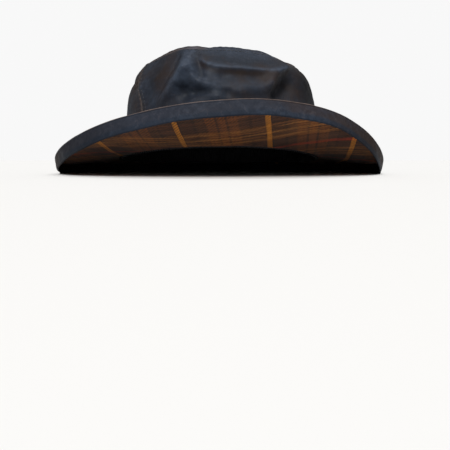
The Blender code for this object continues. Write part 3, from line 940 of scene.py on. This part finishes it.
def headBand():
    s = bandSettings

    def place(u, v):
        azimuth = u * 360.0 - 180.0
        height = s["height"] - (s["height"] + s["below"]) * v
        places, _ = wallPlace(azimuth, height)
        push = s["wave"] * np.sin(np.radians(azimuth) * 9 + 1) * smoothStep((height - 8 * mm) / (20 * mm))
        # the rim turns under in a soft roll
        roll = np.clip((height + s["below"]) / (3 * mm), 0.0, 1.0)
        inset = s["inset"] + 0.4 * mm * (1 - (1 - (1 - roll) ** 2) ** 0.5) - np.abs(push)
        outward = polar(azimuth, np.ones_like(azimuth), np.zeros_like(azimuth))
        return places - outward * inset[:, None], {}

    length = 2 * math.pi * hat["seamHalfWidth"]
    piece = wrapGrid("innerBand", s["columns"], s["rows"], place, True, (length, s["height"] + s["below"]))
    giveThickness(piece, hat["bandCloth"])
    piece.data.materials.append(materials["band"])
    return piece


band = headBand()
print("band made")


# Stitches

stitchSettings = {
    "length": 2.6 * mm, "gap": 0.9 * mm, "thick": 0.42 * mm,
    "edgeInset": 1.8 * mm, "innerInset": 6.6 * mm, "belowTip": 3.2 * mm,
}


def oneStitch():
    # a short thread that dips into the cloth at both ends
    bpy.ops.object.select_all(action="DESELECT")
    bpy.ops.mesh.primitive_uv_sphere_add(segments=8, ring_count=6, radius=0.5, rotation=(0, math.pi / 2, 0))
    stitch = bpy.context.object
    bpy.ops.object.transform_apply(location=False, rotation=True, scale=False)
    bpy.ops.object.mode_set(mode="EDIT")
    bpy.ops.mesh.select_all(action="SELECT")
    thick = stitchSettings["thick"]
    bpy.ops.transform.resize(value=(stitchSettings["length"], thick, thick * 0.8))
    bpy.ops.object.mode_set(mode="OBJECT")
    points = np.array([v.co for v in stitch.data.vertices])
    faces = [tuple(p.vertices) for p in stitch.data.polygons]
    bpy.data.objects.remove(stitch)
    return points, faces


def stitchRow(name, line, outward):
    # line and outward are points along the row and the cloth's normals there
    steps = np.r_[0, np.cumsum(np.linalg.norm(np.diff(line, axis=0), axis=1))]
    pitch = stitchSettings["length"] + stitchSettings["gap"]
    count = max(1, int(steps[-1] // pitch))
    shape, faces = oneStitch()
    points, allFaces = [], []
    for i in range(count):
        at = (i + 0.5) * steps[-1] / count
        ends = [np.array([np.interp(at + d, steps, line[:, k]) for k in range(3)]) for d in (-mm, mm)]
        middle = np.array([np.interp(at, steps, line[:, k]) for k in range(3)])
        normal = np.array([np.interp(at, steps, outward[:, k]) for k in range(3)])
        along = ends[1] - ends[0]
        along /= np.linalg.norm(along)
        side = np.cross(normal, along)
        side /= np.linalg.norm(side)
        up = np.cross(along, side)
        points.append(middle + shape @ np.array([along, side, up]))
        allFaces += [tuple(j + i * len(shape) for j in face) for face in faces]
    mesh = bpy.data.meshes.new(name)
    mesh.from_pydata(np.concatenate(points).tolist(), [], allFaces)
    piece = bpy.data.objects.new(name, mesh)
    bpy.context.scene.collection.objects.link(piece)
    mesh.shade_smooth()
    mesh.materials.append(materials["thread"])
    return piece


def wallRow(azimuth, height):
    places, _ = wallPlace(azimuth, height)
    across, _ = wallPlace(azimuth + 0.3, height)
    above, _ = wallPlace(azimuth, height + 0.4 * mm)
    normal = np.cross(across - places, above - places)
    normal /= np.linalg.norm(normal, axis=1, keepdims=True)
    return places + normal * 0.15 * mm, normal


def seamStitches(name, seam, inset):
    height = np.linspace(3 * mm, hat["crownHeight"] - 4 * mm, 60)
    azimuth = seamAt(seam, height) + math.degrees(inset / hat["seamHalfWidth"])
    places, normal = wallRow(azimuth, height)
    return stitchRow(name, places + normal * crownSettings["seamStep"], normal)


edgeInset, innerInset = stitchSettings["edgeInset"], stitchSettings["innerInset"]
ringAzimuths = np.linspace(0, 360, 361)
ringHeights = np.full_like(ringAzimuths, hat["crownHeight"] - stitchSettings["belowTip"])
stitchRows = [
    seamStitches("leftSeamStitchesFront", leftSeam, edgeInset),
    seamStitches("leftSeamStitchesInner", leftSeam, innerInset),
    seamStitches("rightSeamStitchesFront", rightSeam, -edgeInset),
    seamStitches("rightSeamStitchesInner", rightSeam, -innerInset),
    stitchRow("tipStitches", *wallRow(ringAzimuths, ringHeights)),
]
print("stitches made")


# What rides on what

pieces = {
    "crown_front": crownFront, "crown_back": crownBack, "crown_tip": crownTop, "brim_top": brimUpper,
    "brim_underside": facing, "brim_edge": lip, "head_band": band,
}
for node, piece in pieces.items():
    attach(piece, "root")
    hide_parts(node)
for row in stitchRows:
    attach(row, "root")


# Floor, light and camera

stageSettings = {
    "floor": "F0EFED", "floorSize": 40.0, "skyLight": 0.24, "skyLook": 0.94,
    "suns": (("frontLight", (-0.15, -1.0, 0.9), 2.7, 28.0), ("topLight", (0.2, -0.1, 1.0), 1.0, 50.0)),
    "camera": (0.0053, -0.513, 0.0130), "pitchDown": 7.4, "lens": 40.0,
}


def plainFloor():
    bpy.ops.object.select_all(action="DESELECT")
    bpy.ops.mesh.primitive_plane_add(size=stageSettings["floorSize"])
    floor = bpy.context.object
    floor.name = "plainFloor"
    material, _, shader = newMaterial("palePaper", 0.9, {"Specular IOR Level": 0.1})
    shader.inputs["Base Color"].default_value = hexColour(stageSettings["floor"])
    floor.data.materials.append(material)


def studio():
    s = stageSettings
    world = bpy.data.worlds.new("paleStudio")
    bpy.context.scene.world = world
    world.use_nodes = True
    tree = world.node_tree
    shade = tree.nodes["Background"]
    shade.inputs[0].default_value = (1.0, 1.0, 1.0, 1.0)
    shade.inputs[1].default_value = s["skyLight"]
    # the wall behind looks paler than the room that lights the hat
    wall = addNode(tree, "ShaderNodeBackground", {0: (1.0, 1.0, 1.0, 1.0), 1: s["skyLook"]})
    seen = addNode(tree, "ShaderNodeLightPath").outputs["Is Camera Ray"]
    both = addNode(tree, "ShaderNodeMixShader", None, {0: seen, 1: shade.outputs[0], 2: wall.outputs[0]})
    tree.links.new(both.outputs[0], tree.nodes["World Output"].inputs[0])
    for name, place, strength, softness in s["suns"]:
        light = bpy.data.lights.new(name, "SUN")
        light.energy = strength
        light.angle = math.radians(softness)
        lamp = bpy.data.objects.new(name, light)
        bpy.context.scene.collection.objects.link(lamp)
        lamp.rotation_euler = (-Vector(place)).to_track_quat("-Z", "Y").to_euler()
    camera = bpy.data.cameras.new("photoCamera")
    camera.lens = s["lens"]
    camera.sensor_width = 36.0
    camera.clip_start = 0.01
    view = bpy.data.objects.new("photoCamera", camera)
    bpy.context.scene.collection.objects.link(view)
    view.location = s["camera"]
    view.rotation_euler = (math.radians(90 - s["pitchDown"]), 0, 0)
    bpy.context.scene.camera = view
    bpy.context.scene.view_settings.view_transform = "Standard"


plainFloor()
studio()
print("stage made")
